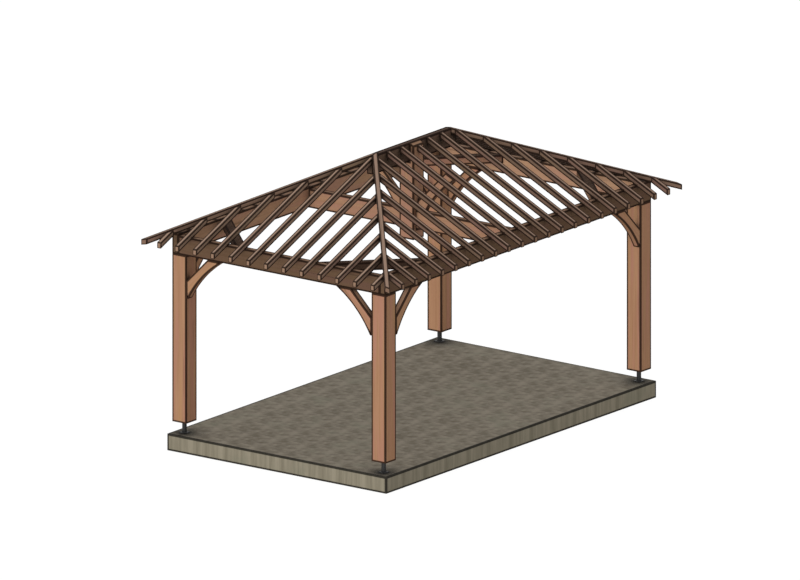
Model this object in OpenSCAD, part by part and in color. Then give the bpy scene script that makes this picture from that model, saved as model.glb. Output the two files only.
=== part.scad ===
// Open timber pavilion with a hipped roof of bare rafters, standing on a concrete slab.
// Millimetres. X runs along the building, Y across it, Z up. The origin is the middle of
// the slab's underside.

/* [Slab] */
// Thickness of the concrete slab
slab_h = 240; // [100:5:400]
// Width of slab left outside the posts
slab_margin = 50; // [20:5:300]

/* [Posts] */
// Length over the outer faces of the posts
frame_l = 6100; // [4600:10:7800]
// Width over the outer faces of the posts
frame_w = 3660; // [3000:10:4600]
// Side of a square post
post_w = 240; // [160:5:300]
// Height of a timber post
post_h = 2398; // [1900:1:2900]

/* [Post stands] */
// Height from the slab to the underside of a post
stand_h = 172; // [60:1:250]
// Side of the square steel foot plate
plate_w = 110; // [90:1:150]
// Thickness of the foot plate
plate_t = 12; // [6:1:20]
// Outside diameter of the stand's tube
tube_d = 64; // [40:1:80]

/* [Beams] */
// Thickness of the wall beams, tie beam, ridge beam and knee braces
beam_w = 102; // [80:1:120]
// Depth of the end beams, tie beam and ridge beam
beam_h = 264; // [200:1:320]

/* [Knee braces] */
// Length of a brace along the post and along the beam, out to the arched edge
brace_leg = 610; // [400:5:700]
// Length of a brace along the post and along the beam, out to the straight edge
brace_gap = 362; // [200:1:400]
// Rise of the arched edge over its chord
brace_rise = 58; // [20:1:90]
// Square nose left at the foot of the arched edge
brace_nose = 28; // [15:1:40]

/* [Corner ties] */
// Length that a corner tie's inner edge cuts off along each beam, from the corner between them
corner_leg = 1100; // [700:10:1250]
// Width of a corner tie, which lies flat
corner_w = 138; // [90:1:180]
// Depth of a corner tie
corner_h = 114; // [80:1:160]

/* [Rafters] */
// Distance from rafter to rafter
rafter_pitch = 305; // [280:1:400]
// Width of a rafter
rafter_w = 65; // [40:1:80]
// Depth of a rafter
rafter_h = 76; // [60:1:110]
// Width of a hip rafter
hip_w = 70; // [50:1:90]
// Overhang of the eaves outside the posts
eave = 305; // [200:5:450]
// Slope of the two long sides, in degrees
long_slope = 25.9; // [20:0.1:32]
// Slope of the two ends, in degrees
end_slope = 22; // [18:0.1:30]
// Depth of the notch that seats a rafter on its beam
seat = 6; // [3:1:15]

/* [King post truss] */
// Side of the square king post
king_w = 240; // [160:5:300]
// Length of the king post's foot, which hangs below the tie beam
king_foot = 145; // [20:5:400]
// Thickness of a strut
strut_w = 65; // [40:1:100]
// Height on the king post at which a strut's straight edge starts, above the tie beam
strut_start = 130; // [80:1:250]
// Length of a strut's foot on the tie beam
strut_foot = 140; // [80:1:220]
// Reach of a strut's arched edge from the king post, up to the middle rafter
strut_reach = 648; // [500:1:800]
// Rise of that arched edge over its chord
strut_rise = 45; // [10:1:70]

/* [Hidden] */

timber = [0.66, 0.49, 0.38];
roof_timber = [0.48, 0.38, 0.31];
concrete = [0.45, 0.42, 0.36];
steel = [0.1, 0.1, 0.1];
round_fn = 48;
far = 20000;

// Heights above the slab's underside
post_z = slab_h + stand_h;
beam_z = post_z + post_h;
end_beam_top = beam_z + beam_h;

// Half sizes in plan
half_l = frame_l / 2;
half_w = frame_w / 2;
eave_x = half_l + eave;
eave_y = half_w + eave;

// Roof planes: the top edge of every tail is at eave_z, and each rafter is notched onto its beam
end_rise = tan(end_slope);
long_rise = tan(long_slope);
end_plumb = rafter_h / cos(end_slope);
long_plumb = rafter_h / cos(long_slope);
eave_z = end_beam_top - seat + end_plumb - eave * end_rise;
side_beam_top = eave_z + eave * long_rise - long_plumb + seat;

// Ridge and hips in plan: a hip's inner face stands on the line where the two planes meet,
// and the planes of the two long sides and one end meet at an apex
peak_z = eave_z + eave_y * long_rise;
ridge_z = peak_z - beam_w / 2 * long_rise - beam_h;
apex_x = eave_x - eave_y * long_rise / end_rise;
hip_run_x = eave_x - apex_x;
hip_len = sqrt(hip_run_x * hip_run_x + eave_y * eave_y);
hip_side = hip_w * hip_len / eave_y;
hip_end = hip_w * hip_len / hip_run_x;
ridge_meet = apex_x + beam_w / 2 * hip_run_x / eave_y;
ridge_half = ridge_meet + hip_side;
hip_rise = eave_y * long_rise / hip_len;
hip_plumb = rafter_h * sqrt(1 + hip_rise * hip_rise);

// Height of the middle rafter's underside over the tie beam, at the king post's face
rafter_over_tie = peak_z - king_w / 2 * long_rise - long_plumb - end_beam_top;

// Counts of rafters each side of the middle
side_count = floor(half_l / rafter_pitch);
end_count = floor(half_w / rafter_pitch);
ridge_count = floor((ridge_meet + rafter_w / 2) / rafter_pitch);

// Places a child in one of the four corners: x_side and y_side are -1 or 1
module corner(x_side, y_side) {
    mirror([x_side > 0 ? 1 : 0, 0, 0]) mirror([0, y_side > 0 ? 1 : 0, 0]) children();
}

module slab() {
    color(concrete) translate([-half_l - slab_margin, -half_w - slab_margin, 0])
        cube([frame_l + 2 * slab_margin, frame_w + 2 * slab_margin, slab_h]);
}

module stand() {
    color(steel) translate([-half_l + post_w / 2, -half_w + post_w / 2, slab_h]) {
        translate([-plate_w / 2, -plate_w / 2, 0]) cube([plate_w, plate_w, plate_t]);
        cylinder(d = tube_d, h = stand_h, $fn = round_fn);
    }
}

module post() {
    color(timber) translate([-half_l, -half_w, post_z]) cube([post_w, post_w, post_h]);
}

// The side beams run the whole length and the end beams stand between them
module side_beam() {
    color(timber) translate([-half_l, -half_w, beam_z])
        cube([frame_l, beam_w, side_beam_top - beam_z]);
}

module end_beam() {
    color(timber) translate([-half_l, beam_w - half_w, beam_z])
        cube([beam_w, frame_w - 2 * beam_w, beam_h]);
}

// Points of an arc that rises to the left of the line between its ends
function arc_points(from, to, rise, steps = 16) =
    let (chord = norm(to - from),
         along = (to - from) / chord,
         radius = (chord * chord / 4 + rise * rise) / (2 * rise),
         centre = (from + to) / 2 + [along[1], -along[0]] * (radius - rise),
         half_turn = asin(chord / 2 / radius),
         middle = atan2(along[0], -along[1]))
    [for (i = [0 : steps])
        let (angle = middle + half_turn * (1 - 2 * i / steps))
        centre + radius * [cos(angle), sin(angle)]];

// A brace in a right-angled corner at the origin: one leg along +X, the other down -Y,
// with a straight edge in the corner and an arched edge outside
module brace_outline() {
    polygon(concat([[0, -brace_gap], [0, -brace_leg]],
        arc_points([brace_nose, -brace_leg], [brace_leg, 0], brace_rise),
        [[brace_gap, 0]]));
}

module side_brace() {
    color(timber) translate([-half_l + post_w, -half_w + beam_w, beam_z])
        rotate([90, 0, 0]) linear_extrude(beam_w) brace_outline();
}

module end_brace() {
    color(timber) translate([-half_l, -half_w + post_w, beam_z])
        rotate([90, 0, 90]) linear_extrude(beam_w) brace_outline();
}

// A tie across the corner at 45 degrees, level with the top of the end beam
module corner_tie() {
    outer_leg = corner_leg - corner_w * sqrt(2);
    color(timber) translate([-half_l + beam_w, -half_w + beam_w, end_beam_top - corner_h])
        linear_extrude(corner_h)
        polygon([[corner_leg, 0], [0, corner_leg], [0, outer_leg], [outer_leg, 0]]);
}

module tie_beam() {
    color(timber) translate([-beam_w / 2, beam_w - half_w, beam_z])
        cube([beam_w, frame_w - 2 * beam_w, beam_h]);
}

// The room under the two long slopes
module under_long_slopes() {
    translate([-half_l, 0, 0]) rotate([90, 0, 90]) linear_extrude(frame_l)
        polygon([[-eave_y, 0], [-eave_y, eave_z], [0, peak_z], [eave_y, eave_z], [eave_y, 0]]);
}

// The room under the two end slopes
module under_end_slopes() {
    translate([0, half_w, 0]) rotate([90, 0, 0]) linear_extrude(frame_w)
        polygon([[-eave_x, 0], [-eave_x, eave_z], [-apex_x, peak_z], [apex_x, peak_z],
            [eave_x, eave_z], [eave_x, 0]]);
}

module king_column() {
    translate([-king_w / 2, -king_w / 2, beam_z - king_foot])
        cube([king_w, king_w, peak_z - beam_z + king_foot]);
}

// Stock for the ridge beam, with the room over it
module ridge_stock() {
    translate([-ridge_half, -beam_w / 2, ridge_z]) cube([2 * ridge_half, beam_w, far]);
}

// The tie beam passes through the king post, and the post's head is forked round the ridge beam
module king_post() {
    color(timber) difference() {
        intersection() {
            king_column();
            under_long_slopes();
        }
        tie_beam();
        ridge_stock();
    }
}

// A strut in front of the king post, up from the tie beam to the middle rafter. In its outline
// X is the distance from the king post's face and Y the height over the tie beam. The straight
// edge rises at 45 degrees and meets the rafter before the head of the arched edge.
module strut() {
    meet = (rafter_over_tie - strut_start) / (1 + long_rise);
    head = [strut_reach, rafter_over_tie - strut_reach * long_rise];
    color(timber) mirror([0, 1, 0]) translate([-strut_w / 2, king_w / 2, end_beam_top])
        rotate([90, 0, 90]) linear_extrude(strut_w)
        polygon(concat([[meet, strut_start + meet], [0, strut_start], [0, 0]],
            arc_points([strut_foot, 0], head, strut_rise)));
}

// A roof timber and the room over it
module bar_with_room() {
    for (lift = [0, rafter_h / 2]) translate([0, 0, lift]) children();
}

// The ridge beam is dressed to the slopes, and its ends are notched for what runs over them
module ridge_beam() {
    color(timber) difference() {
        intersection() {
            ridge_stock();
            under_long_slopes();
            under_end_slopes();
        }
        for (x_side = [-1, 1]) {
            corner(x_side, 0) bar_with_room() left_bar(0, beam_w);
            for (y_side = [-1, 1]) corner(x_side, y_side) bar_with_room() hip_bar();
        }
    }
}

// Everything the roof timbers are notched over
module seats() {
    for (side = [-1, 1]) {
        corner(0, side) side_beam();
        corner(side, 0) end_beam();
    }
}

// A bar that rises along +X, with the foot of its top edge at the origin
module sloping_bar(run, rise, plumb, width) {
    rotate([90, 0, 0]) translate([0, 0, -width / 2]) linear_extrude(width)
        polygon([[0, 0], [run, run * rise], [run, run * rise - plumb], [0, -plumb]]);
}

// A hip rafter, trimmed in plan to meet its neighbour over the ridge
module hip_bar() {
    turn = atan2(eave_y, hip_run_x);
    intersection() {
        linear_extrude(far)
            polygon([[-apex_x, 0], [-eave_x, -eave_y], [-eave_x, hip_end - eave_y],
                [-apex_x - hip_side, 0]]);
        translate([-eave_x, -eave_y, eave_z]) rotate([0, 0, turn])
            translate([-hip_w, 0, -hip_w * hip_rise])
            sloping_bar(hip_len + 2 * hip_w, hip_rise, hip_plumb, 3 * hip_w);
    }
}

module hip() {
    color(roof_timber) difference() {
        hip_bar();
        seats();
    }
}

// Front slope between the ridge beam, the two hips and the eaves
module front_bar(x) {
    intersection() {
        linear_extrude(far)
            polygon([[-ridge_meet, -beam_w / 2], [ridge_meet, -beam_w / 2],
                [eave_x, -eave_y], [-eave_x, -eave_y]]);
        translate([x, -eave_y, eave_z]) rotate([0, 0, 90])
            sloping_bar(eave_y, long_rise, long_plumb, rafter_w);
    }
}

// Left slope between the two hips and the eaves
module left_bar(y, width) {
    intersection() {
        linear_extrude(far)
            polygon([[-apex_x - hip_side, 0], [-eave_x, eave_y - hip_end],
                [-eave_x, hip_end - eave_y]]);
        translate([-eave_x, y, eave_z])
            sloping_bar(hip_run_x, end_rise, end_plumb, width);
    }
}

module front_rafter(i) {
    color(roof_timber) difference() {
        front_bar(i * rafter_pitch);
        seats();
        king_column();
    }
}

// Rafters that reach the ridge beam or the king post
module front_rafters() {
    for (i = [-ridge_count : ridge_count]) front_rafter(i);
}

// Shorter rafters between a hip and the eaves
module front_jacks() {
    for (i = [ridge_count + 1 : side_count]) front_rafter(-i);
}

module left_rafters() {
    color(roof_timber) difference() {
        for (i = [-end_count : end_count]) left_bar(i * rafter_pitch, rafter_w);
        seats();
    }
}

slab();
stand();  // stand_front_left
corner(1, 0) stand();  // stand_front_right
corner(0, 1) stand();  // stand_back_left
corner(1, 1) stand();  // stand_back_right
post();  // post_front_left
corner(1, 0) post();  // post_front_right
corner(0, 1) post();  // post_back_left
corner(1, 1) post();  // post_back_right
side_beam();  // beam_front
corner(0, 1) side_beam();  // beam_back
end_beam();  // beam_left
corner(1, 0) end_beam();  // beam_right
side_brace();  // brace_front_left
corner(1, 0) side_brace();  // brace_front_right
corner(0, 1) side_brace();  // brace_back_left
corner(1, 1) side_brace();  // brace_back_right
end_brace();  // brace_left_front
corner(0, 1) end_brace();  // brace_left_back
corner(1, 0) end_brace();  // brace_right_front
corner(1, 1) end_brace();  // brace_right_back
corner_tie();  // corner_tie_front_left
corner(1, 0) corner_tie();  // corner_tie_front_right
corner(0, 1) corner_tie();  // corner_tie_back_left
corner(1, 1) corner_tie();  // corner_tie_back_right
tie_beam();
king_post();
strut();  // strut_front
corner(0, 1) strut();  // strut_back
ridge_beam();
hip();  // hip_front_left
corner(1, 0) hip();  // hip_front_right
corner(0, 1) hip();  // hip_back_left
corner(1, 1) hip();  // hip_back_right
front_rafters();  // rafters_front
corner(0, 1) front_rafters();  // rafters_back
front_jacks();  // jacks_front_left
corner(1, 0) front_jacks();  // jacks_front_right
corner(0, 1) front_jacks();  // jacks_back_left
corner(1, 1) front_jacks();  // jacks_back_right
left_rafters();  // rafters_left
corner(1, 0) left_rafters();  // rafters_right
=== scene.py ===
import math
import random

import bmesh
import bpy
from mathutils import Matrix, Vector


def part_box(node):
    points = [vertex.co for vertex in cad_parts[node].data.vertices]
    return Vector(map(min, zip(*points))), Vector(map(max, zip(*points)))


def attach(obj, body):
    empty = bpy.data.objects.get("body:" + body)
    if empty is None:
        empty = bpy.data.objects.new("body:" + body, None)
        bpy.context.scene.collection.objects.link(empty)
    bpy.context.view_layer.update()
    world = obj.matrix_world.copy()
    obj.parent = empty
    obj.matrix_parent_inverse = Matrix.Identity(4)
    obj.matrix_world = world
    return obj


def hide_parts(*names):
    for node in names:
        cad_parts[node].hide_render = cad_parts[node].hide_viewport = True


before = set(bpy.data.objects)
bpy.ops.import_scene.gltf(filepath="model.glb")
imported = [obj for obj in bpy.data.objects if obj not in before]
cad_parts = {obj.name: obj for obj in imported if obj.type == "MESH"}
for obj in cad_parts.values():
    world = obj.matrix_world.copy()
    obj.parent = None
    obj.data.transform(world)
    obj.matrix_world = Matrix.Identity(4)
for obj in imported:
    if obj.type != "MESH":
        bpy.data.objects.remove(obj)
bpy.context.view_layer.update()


# ---- Concrete slab ----
# A raised slab cast in one pour inside board forms. Its top is floated and then washed, which
# leaves pale and dark patches, and its edges are eased with a hand edger.

class Wire:
    """A socket that takes part in sums. Numbers join in as they are."""

    def __init__(self, finish, socket):
        self.finish = finish
        self.socket = socket

    def combine(self, operation, first, second):
        return self.finish.node("Math", {"operation": operation}, {0: first, 1: second})

    def __add__(self, other):
        return self.combine("ADD", self, other)

    def __sub__(self, other):
        return self.combine("SUBTRACT", self, other)

    def __rsub__(self, other):
        return self.combine("SUBTRACT", other, self)

    def __mul__(self, other):
        return self.combine("MULTIPLY", self, other)

    __radd__ = __add__
    __rmul__ = __mul__


class Finish:
    """A material or a sky whose nodes are made one by one with node()."""

    def __init__(self, owner):
        self.owner = owner
        owner.use_nodes = True
        self.tree = owner.node_tree
        self.tree.nodes.clear()

    def node(self, kind, settings=None, inputs=None, output=0):
        made = self.tree.nodes.new("ShaderNode" + kind)
        for name, value in (settings or {}).items():
            setattr(made, name, value)
        for name, value in (inputs or {}).items():
            if isinstance(value, Wire):
                self.tree.links.new(value.socket, made.inputs[name])
            else:
                made.inputs[name].default_value = value
        return Wire(self, made.outputs[output]) if made.outputs else None

    def mark(self, name):
        """A number that the mesh carries at its corners or on its faces."""
        return self.node("Attribute", {"attribute_name": name}, output="Fac")

    def upward(self):
        """How far a face looks up: 1 for level ground, 0 for a wall, -1 for a ceiling."""
        facing = self.node("NewGeometry", output="Normal")
        return self.node("SeparateXYZ", {}, {0: facing}, output="Z")

    def noise(self, place, stretch, detail=2.0, roughness=0.5):
        """Noise from 0 to 1 whose marks are 1 / stretch long along each axis, in metres."""
        scaled = self.node("VectorMath", {"operation": "MULTIPLY"}, {0: place, 1: stretch})
        return self.node("TexNoise", {}, {"Vector": scaled, "Scale": 1.0,
                                          "Detail": detail, "Roughness": roughness})

    def open_sky(self, reach):
        """1 on an open face, falling to 0 in a corner shut in by what lies within reach."""
        return self.node("AmbientOcclusion", {"samples": 8}, {"Distance": reach}, output="AO")

    def between(self, value, low, high):
        """Maps value to 0 at low and 1 at high, with soft ends."""
        return self.node("MapRange", {"interpolation_type": "SMOOTHSTEP"},
                         {"Value": value, "From Min": low, "From Max": high})

    def blend(self, factor, first, second, mode="MIX"):
        """The colour first where factor is 0 and second where it is 1. They go into sockets 6
        and 7 of the node, and the mixed colour is its output 2."""
        return self.node("Mix", {"data_type": "RGBA", "blend_type": mode},
                         {"Factor": factor, 6: first, 7: second}, output=2)

    def finish(self, colour, roughness, relief, depth, shine):
        bumped = self.node("Bump", {}, {"Height": relief, "Distance": depth})
        shader = self.node("BsdfPrincipled", {},
                           {"Base Color": colour, "Roughness": roughness, "Normal": bumped,
                            "Specular IOR Level": shine})
        self.node("OutputMaterial", {}, {"Surface": shader})
        return self.owner


def rgb(red, green, blue):
    """A colour written as on a paint card, 0 to 255, as the shader's linear values."""
    scale = [((c / 255 + 0.055) / 1.055) ** 2.4 for c in (red, green, blue)]
    return (*scale, 1.0)


def whole_faces(node):
    """The CAD node's mesh with its flat faces whole again instead of cut in triangles."""
    shape = bmesh.new()
    shape.from_mesh(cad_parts[node].data)
    bmesh.ops.remove_doubles(shape, verts=shape.verts, dist=1e-5)
    bmesh.ops.dissolve_limit(shape, angle_limit=math.radians(0.5),
                             verts=shape.verts, edges=shape.edges)
    return shape


def spread(start, steps):
    """Everything that start leads to, in the order in which steps finds it."""
    found = [start]
    known = {start}
    for item in found:
        for other in steps(item):
            if other not in known:
                known.add(other)
                found.append(other)
    return found


def ease_arrises(shape, ease, rim):
    """Rounds the sharp edges and rings each surface with a rim, where "arris" fades from 1 to 0.
    A narrow surface gets a narrower rim, so that its middle stays clear."""
    widest_share = 0.38
    sharp = [e for e in shape.edges if e.calc_face_angle(0.0) > math.radians(15)]
    eased = bmesh.ops.bevel(shape, geom=sharp, offset=ease, segments=2, profile=0.5,
                            affect="EDGES", clamp_overlap=True)
    rounded = set(eased["faces"])
    waiting = dict.fromkeys(f for f in shape.faces if f not in rounded)
    arris = shape.verts.layers.float.new("arris")
    for corner in shape.verts:
        corner[arris] = 1.0

    def beside(face):
        return [f for e in face.edges for f in e.link_faces if f in waiting]

    while waiting:
        surface = spread(next(iter(waiting)), beside)
        for face in surface:
            del waiting[face]
        border = [e for f in surface for e in f.edges
                  if sum(other in surface for other in e.link_faces) == 1]
        breadth = 2 * sum(f.calc_area() for f in surface) / sum(e.calc_length() for e in border)
        bmesh.ops.inset_region(shape, faces=surface, use_even_offset=True,
                               thickness=min(rim, widest_share * breadth))
        for face in surface:
            for corner in face.verts:
                corner[arris] = 0.0


def place(shape, node, finish, slot):
    """Makes the piece that stands for a CAD node."""
    mesh = bpy.data.meshes.new(node + "_shape")
    bmesh.ops.recalc_face_normals(shape, faces=shape.faces)
    for face in shape.faces:
        face.smooth = True
    shape.to_mesh(mesh)
    shape.free()
    mesh.set_sharp_from_angle(angle=math.radians(20))
    mesh.materials.append(finish)
    piece = bpy.data.objects.new(node + "_piece", mesh)
    bpy.context.scene.collection.objects.link(piece)
    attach(piece, "root")
    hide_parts(node)


def panel_repeat(cast, spot, period):
    """Noise that repeats each period along X and Y and is the same at every height, so that the
    sides get upright runs."""
    turns = []
    for axis in ("X", "Y"):
        angle = cast.node("SeparateXYZ", {}, {0: spot}, output=axis) * (2 * math.pi / period)
        for wave in ("COSINE", "SINE"):
            turns.append(cast.node("Math", {"operation": wave}, {0: angle}))
    ring = cast.node("CombineXYZ", {}, {0: turns[0], 1: turns[1], 2: turns[2]})
    return cast.node("TexNoise", {"noise_dimensions": "4D"},
                     {"Vector": ring, "W": turns[3], "Scale": 0.7,
                      "Detail": 2.5, "Roughness": 0.5})


def concrete_finish():
    cast = Finish(bpy.data.materials.new("floated_concrete"))
    spot = cast.node("TexCoord", output="Object")
    top = cast.between(cast.upward(), 0.3, 0.8)
    panels = panel_repeat(cast, spot, period=0.49)
    patches = cast.noise(spot, (2.2, 2.2, 2.2), detail=3, roughness=0.6)
    grit = cast.noise(spot, (150, 150, 150), detail=3, roughness=0.7)
    runs = cast.noise(spot, (26, 26, 1.5), detail=3, roughness=0.65)
    floated = cast.between(panels * 0.65 + patches * 0.25 + grit * 0.1, 0.32, 0.66)
    cast_face = cast.between(panels * 0.45 + runs * 0.4 + grit * 0.15, 0.38, 0.62)
    colour = cast.blend(top, cast.blend(cast_face, rgb(122, 115, 98), rgb(146, 138, 120)),
                        cast.blend(floated, rgb(106, 99, 86), rgb(142, 134, 120)))
    colour = cast.blend(cast.between(patches, 0.5, 0.75) * 0.4, colour, rgb(116, 117, 100))
    # Painted shade: the top darkens towards rgb(50, 47, 42) where the stands and posts shut it
    # in.
    painted_shade_round_stands = cast.between(cast.open_sky(0.4), 1.0, 0.6) * top
    colour = cast.blend(painted_shade_round_stands, colour, rgb(50, 47, 42))
    edging = cast.between(cast.mark("arris"), 0.05, 0.4) * 0.9
    colour = cast.blend(edging, colour, rgb(16, 15, 13))
    return cast.finish(colour, 0.78 + grit * 0.2, grit * 0.6 + patches * 0.4, 0.002, shine=0.12)


slab = whole_faces("slab")
ease_arrises(slab, ease=0.006, rim=0.028)
place(slab, "slab", concrete_finish(), "concrete")


# ---- Steel post stands ----
# Each post stands clear of the wet on a short steel tube welded to a square foot plate, all
# painted satin black. A fillet weld runs round the foot of the tube.

def steel_finish():
    paint = Finish(bpy.data.materials.new("black_paint"))
    spot = paint.node("TexCoord", output="Object")
    peel = paint.noise(spot, (300, 300, 300), detail=2)
    dust = paint.noise(spot, (18, 18, 9), detail=4, roughness=0.65)
    colour = paint.blend(paint.between(dust, 0.45, 0.75), rgb(32, 31, 30), rgb(52, 50, 48))
    # Painted shade: the paint goes near black where the tube, weld and plate shut each other in.
    colour = paint.blend(paint.between(paint.open_sky(0.15), 0.35, 0.95), rgb(10, 10, 9), colour)
    colour = paint.blend(paint.between(paint.mark("arris"), 0.0, 0.4) * 0.9, colour, rgb(9, 8, 8))
    return paint.finish(colour, 0.42 + dust * 0.25, peel, 0.0003, shine=0.4)


def weld_bead(shape, tube_foot, tube_radius, leg=0.007, ripples=60):
    """Lays a rippled fillet weld on the plate, round the foot of the tube."""
    dark = shape.verts.layers.float["arris"]
    section = ((-0.1, 1), (0.25, 0.8), (0.75, 0.4), (1, 0), (1, -0.1))
    steps = ripples * 3
    rings = []
    for i in range(steps):
        turn = 2 * math.pi * i / steps
        outward = Vector((math.cos(turn), math.sin(turn), 0))
        swell = leg * (1 + 0.12 * math.cos(ripples * turn))
        rings.append([shape.verts.new(tube_foot + outward * (tube_radius + run * swell)
                                      + Vector((0, 0, rise * swell)))
                      for run, rise in section])
    for ring, following in zip(rings, rings[1:] + rings[:1]):
        for i in range(len(section) - 1):
            shape.faces.new((ring[i], ring[i + 1], following[i + 1], following[i]))
        for corner in ring:
            corner[dark] = 0.35


plate_thickness = 0.012
tube_radius = 0.032
black_paint = steel_finish()
for stand in ["stand_front_left", "stand_front_right", "stand_back_left", "stand_back_right"]:
    low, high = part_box(stand)
    tube_foot = Vector(((low.x + high.x) / 2, (low.y + high.y) / 2, low.z + plate_thickness))
    shape = whole_faces(stand)
    ease_arrises(shape, ease=0.0015, rim=0.02)
    weld_bead(shape, tube_foot, tube_radius)
    place(shape, stand, black_paint, "steel")


# ---- Posts ----
# Four square posts of rough-sawn softwood, stained a warm brown. The saw leaves the faces
# furry and the stain takes unevenly, so soft streaks run down the grain and the arrises are dark.

draw = random.Random(20)


def lay_grain(shape):
    """Gives each solid a grain of its own that follows its longest edge, a shade of its own, and
    marks its sawn ends."""
    grain = shape.verts.layers.float_vector.new("grain")
    tone = shape.verts.layers.float.new("tone")
    sawn_end = shape.faces.layers.float.new("sawn_end")
    done = set()
    for start in shape.verts:
        if start in done:
            continue
        solid = spread(start, lambda corner: [v for e in corner.link_edges for v in e.verts])
        done.update(solid)
        longest = max((e for v in solid for e in v.link_edges), key=lambda e: e.calc_length())
        along = (longest.verts[1].co - longest.verts[0].co).normalized()
        across = along.orthogonal().normalized()
        through = along.cross(across)
        shift = Vector([draw.uniform(0, 9) for _ in range(3)])
        shade = draw.random()
        for corner in solid:
            spot = corner.co
            corner[grain] = Vector((spot @ along, spot @ across, spot @ through)) + shift
            corner[tone] = shade
            for face in corner.link_faces:
                face[sawn_end] = abs(face.normal @ along)


def timber_finish(name, pale, dark, pink, ochre, tops, ends, shade, line, reach, shut_in):
    """Stained timber. tops, ends and line are the colours of upward faces, sawn ends and arrises;
    tops is painted light and shade. shade is a painted shade laid where what lies within reach
    shuts a face in. The two numbers of shut_in are how open a face is where it has the painted
    shade all over, and where it has none of it."""
    wood = Finish(bpy.data.materials.new(name))
    grain = wood.node("Attribute", {"attribute_name": "grain"}, output="Vector")
    streaks = wood.noise(grain, (0.9, 42, 42), detail=3, roughness=0.6)
    bands = wood.noise(grain, (0.6, 13, 13), detail=2)
    fibres = wood.noise(grain, (7, 260, 260), detail=3, roughness=0.7)
    saw = wood.noise(grain, (240, 3, 3), detail=1)
    checks = wood.between(wood.noise(grain, (0.8, 30, 30), detail=1), 0.68, 0.74)
    depth = wood.between(streaks * 0.5 + bands * 0.3 + fibres * 0.2, 0.36, 0.64)
    colour = wood.blend(depth, pale, dark)
    colour = wood.blend(wood.between(bands, 0.45, 0.68) * 0.75, colour, pink)
    colour = wood.blend(wood.between(bands, 0.42, 0.25) * 0.6, colour, ochre)
    # Painted light and shade: upward faces take the colour tops, lighter than the sides on the
    # rafters and hips and darker on the other timbers.
    painted_top_shading = wood.between(wood.upward(), 0.4, 0.85) * (0.65 + fibres * 0.35)
    colour = wood.blend(painted_top_shading, colour, tops)
    colour = wood.blend(wood.between(wood.mark("sawn_end"), 0.6, 0.9) * 0.8, colour, ends)
    colour = wood.blend(0.2 * wood.mark("tone"), colour, (0.8, 0.8, 0.8, 1.0), "MULTIPLY")
    # Painted shade: the marked outer faces of the wall beams are darkened for the shade under the
    # rafter tails.
    colour = wood.blend(wood.mark("outer_face_shade"), colour, (0.3, 0.3, 0.29, 1.0), "MULTIPLY")
    colour = wood.blend(checks * 0.3, colour, line)
    # Painted shade: faces shut in by nearby timber take the colour shade.
    colour = wood.blend(wood.between(wood.open_sky(reach), *shut_in), shade, colour)
    colour = wood.blend(wood.between(wood.mark("arris"), 0.05, 0.4) * 0.92, colour, line)
    relief = fibres * 0.6 + saw * 0.25 - checks * 0.8
    return wood.finish(colour, 0.7 + fibres * 0.25, relief, 0.0012, shine=0.07)


def sawn(node, finish, slot, rim=0.028):
    shape = whole_faces(node)
    ease_arrises(shape, ease=0.002, rim=rim)
    lay_grain(shape)
    place(shape, node, finish, slot)


wall_timber = timber_finish("stained_timber", pale=rgb(176, 134, 103), dark=rgb(160, 118, 88),
                            pink=rgb(176, 126, 106), ochre=rgb(172, 130, 90),
                            tops=rgb(166, 134, 112), ends=rgb(176, 140, 110),
                            shade=rgb(62, 48, 38), line=rgb(28, 15, 8),
                            reach=0.3, shut_in=(0.2, 0.8))
for post in ["post_front_left", "post_front_right", "post_back_left", "post_back_right"]:
    sawn(post, wall_timber, "timber")


# ---- Wall beams ----
# Deep beams on edge, flush with the posts' outer faces: the two side beams run the whole
# length, and the end beams stand between them. The outer faces, under the rafter tails, are
# darkened with a painted shade.

def mark_shaded_outer_faces(shape):
    """Marks the upright faces that look away from the middle of the building, for a painted shade
    under the rafter tails.
    """
    outer_face_shade = shape.faces.layers.float.new("outer_face_shade")
    for face in shape.faces:
        level = face.normal.xy
        across = level.normalized() if level.length > 0.5 else Vector((0, 0))
        square_on = max(abs(across.x), abs(across.y)) > 0.9
        face[outer_face_shade] = square_on and across @ face.calc_center_median().xy > 0


# The wall beams' copy of the timber colour is lighter, with painted shade on the outer faces and
# in shut-in corners.
eave_timber = timber_finish("eave_timber", pale=rgb(184, 146, 116), dark=rgb(170, 131, 102),
                            pink=rgb(182, 138, 118), ochre=rgb(178, 140, 104),
                            tops=rgb(140, 113, 94), ends=rgb(176, 140, 110),
                            shade=rgb(56, 42, 33), line=rgb(28, 15, 8),
                            reach=0.3, shut_in=(0.2, 0.9))
for beam in ["beam_front", "beam_back", "beam_left", "beam_right"]:
    shape = whole_faces(beam)
    ease_arrises(shape, ease=0.002, rim=0.028)
    lay_grain(shape)
    mark_shaded_outer_faces(shape)
    place(shape, beam, eave_timber, "timber")


# ---- Corner ties ----
# A flat tie across each inside corner of the wall beams, mitred at both ends and screwed level
# with their tops, holds the frame square and takes the thrust of the hip above it.

# A darker copy of the timber colour, with painted shade reaching further into the shut-in corners
# under the roof.
corner_timber = timber_finish("corner_timber", pale=rgb(166, 127, 99), dark=rgb(148, 110, 84),
                              pink=rgb(168, 121, 104), ochre=rgb(158, 120, 86),
                              tops=rgb(140, 113, 94), ends=rgb(150, 117, 92),
                              shade=rgb(56, 42, 33), line=rgb(28, 15, 8),
                              reach=0.6, shut_in=(0.66, 1.04))
for tie in ["corner_tie_front_left", "corner_tie_front_right",
            "corner_tie_back_left", "corner_tie_back_right"]:
    sawn(tie, corner_timber, "timber")


# ---- Knee braces ----
# Arched braces, sawn from wide plank to a curve on the outside and cut straight on the corner
# side, stiffen each post both ways. They are screwed from hidden faces.

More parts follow.
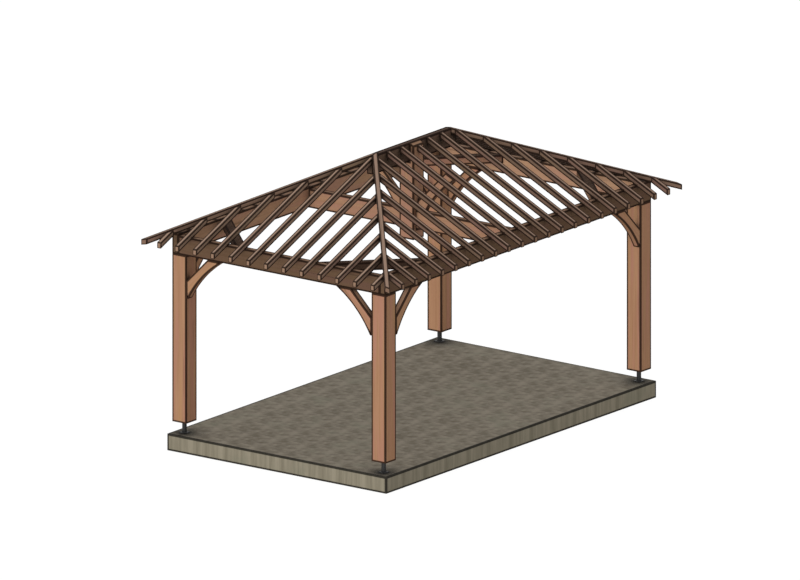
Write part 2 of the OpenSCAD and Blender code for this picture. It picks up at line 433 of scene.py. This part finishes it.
for brace in ["brace_front_left", "brace_front_right", "brace_back_left", "brace_back_right",
              "brace_left_front", "brace_left_back", "brace_right_front", "brace_right_back"]:
    sawn(brace, wall_timber, "timber")


# ---- Truss ----
# A tie beam across the middle passes through a square king post, whose foot hangs below it and
# whose head is forked round the ridge beam. Arched struts stand on the tie on both sides.

truss_timber = timber_finish("truss_timber", pale=rgb(174, 134, 106), dark=rgb(158, 119, 92),
                             pink=rgb(172, 127, 108), ochre=rgb(168, 129, 96),
                             tops=rgb(136, 109, 90), ends=rgb(150, 117, 92),
                             shade=rgb(52, 39, 31), line=rgb(28, 15, 8),
                             reach=0.3, shut_in=(0.3, 0.85))
for member in ["tie_beam", "king_post", "strut_front", "strut_back"]:
    sawn(member, truss_timber, "timber")


# ---- Ridge beam, hips and rafters ----
# The bare roof: a ridge beam on the king post, four hip rafters up to its ends, and rafters at
# even spacing, birdsmouthed over the wall beams, of the same timber. Their darker, greyer
# colours are painted shade under the roof.

# The ridge beam's copy of the timber colour is the darkest: painted deep shade at the ridge.
ridge_timber = timber_finish("ridge_timber", pale=rgb(110, 88, 72), dark=rgb(92, 72, 58),
                             pink=rgb(114, 86, 76), ochre=rgb(104, 84, 64),
                             tops=rgb(84, 70, 62), ends=rgb(130, 103, 84),
                             shade=rgb(40, 31, 25), line=rgb(26, 14, 8),
                             reach=0.6, shut_in=(0.5, 1.0))
sawn("ridge_beam", ridge_timber, "timber")

# The rafters' and hips' colours are darker copies, as painted shade under the roof; end_timber,
# for the end slopes' rafters, is lighter than slope_timber.
slope_timber = timber_finish("slope_timber", pale=rgb(126, 103, 86), dark=rgb(106, 84, 69),
                             pink=rgb(132, 102, 91), ochre=rgb(118, 98, 76),
                             tops=rgb(156, 130, 113), ends=rgb(146, 116, 94),
                             shade=rgb(48, 37, 30), line=rgb(26, 14, 8),
                             reach=0.3, shut_in=(0.3, 0.92))
end_timber = timber_finish("end_timber", pale=rgb(152, 127, 108), dark=rgb(134, 109, 92),
                           pink=rgb(156, 125, 112), ochre=rgb(144, 121, 98),
                           tops=rgb(160, 134, 116), ends=rgb(152, 122, 100),
                           shade=rgb(52, 41, 33), line=rgb(26, 14, 8),
                           reach=0.3, shut_in=(0.2, 0.85))
for member in [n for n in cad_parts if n.startswith(("hip_", "rafters_", "jacks_"))]:
    finish = end_timber if member in ("rafters_left", "rafters_right") else slope_timber
    # The front left hip is the cleanest cut, with the narrowest dark arrises.
    rim = 0.018 if member == "hip_front_left" else 0.024
    sawn(member, finish, "roof_timber", rim)


# ---- Floor, light and camera ----
# A plain white floor keeps a faint shadow under a white sky, and a broad soft lamp stands to
# the left. The camera sees the gazebo without perspective, from over its left front corner.

def seen(backdrop):
    """1 where the camera sees the backdrop, straight or in gloss or glass, and 0 where the
    backdrop only gives light."""
    straight, gloss, glass = [backdrop.node("LightPath", output=ray) for ray in
                              ("Is Camera Ray", "Is Glossy Ray", "Is Transmission Ray")]
    return straight + gloss + glass


def white_floor():
    paper = Finish(bpy.data.materials.new("white_floor"))
    bounce = paper.node("BsdfDiffuse", {}, {"Color": (0.55, 0.55, 0.55, 1.0)})
    faint = paper.node("BsdfDiffuse", {}, {"Color": (0.22, 0.22, 0.22, 1.0)})
    glow = paper.node("Emission", {}, {"Color": (1.0, 1.0, 1.0, 1.0), "Strength": 0.86})
    shown = paper.node("AddShader", {}, {0: faint, 1: glow})
    surface = paper.node("MixShader", {}, {0: seen(paper), 1: bounce, 2: shown})
    paper.node("OutputMaterial", {}, {"Surface": surface})
    return paper.owner


def white_sky():
    sky = Finish(bpy.data.worlds.new("sky"))
    light = sky.node("Background", {}, {"Color": (0.5, 0.5, 0.5, 1.0)})
    white = sky.node("Background", {}, {"Color": (1.0, 1.0, 1.0, 1.0)})
    surface = sky.node("MixShader", {}, {0: seen(sky), 1: light, 2: white})
    sky.node("OutputWorld", {}, {"Surface": surface})
    return sky.owner


floor_mesh = bpy.data.meshes.new("floor")
floor_shape = bmesh.new()
floor_reach = 80
bmesh.ops.create_grid(floor_shape, x_segments=1, y_segments=1, size=floor_reach)
floor_shape.to_mesh(floor_mesh)
floor_shape.free()
floor_mesh.materials.append(white_floor())
floor = bpy.data.objects.new("floor", floor_mesh)
bpy.context.scene.collection.objects.link(floor)
bpy.context.scene.world = white_sky()

lamp_data = bpy.data.lights.new("soft_lamp", "SUN")
lamp_data.energy = 2.2
lamp_data.use_shadow = False
lamp_data.angle = math.radians(30)
lamp = bpy.data.objects.new("soft_lamp", lamp_data)
lamp.rotation_mode = "QUATERNION"
towards_lamp = Vector((-0.87, -0.214, 0.443))
lamp.rotation_quaternion = towards_lamp.to_track_quat("Z", "Y")
bpy.context.scene.collection.objects.link(lamp)

azimuth = math.radians(-53.23)
elevation = math.radians(15.51)
right = Vector((math.cos(azimuth), math.sin(azimuth), 0))
back = Vector((math.sin(azimuth) * math.cos(elevation), -math.cos(azimuth) * math.cos(elevation),
               math.sin(elevation)))
up = back.cross(right)
slab_top = Vector((0, 0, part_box("slab")[1].z))
camera_data = bpy.data.cameras.new("camera")
camera_data.type = "ORTHO"
camera_data.ortho_scale = 10.998        # how many metres the view takes in across
camera_data.clip_end = 200
camera = bpy.data.objects.new("camera", camera_data)
aim = slab_top - 0.1607 * right + 1.6087 * up        # metres across and up the view
camera.location = aim + 20 * back
camera.rotation_mode = "QUATERNION"
camera.rotation_quaternion = back.to_track_quat("Z", "Y")
bpy.context.scene.collection.objects.link(camera)
bpy.context.scene.camera = camera
bpy.context.scene.view_settings.view_transform = "Standard"
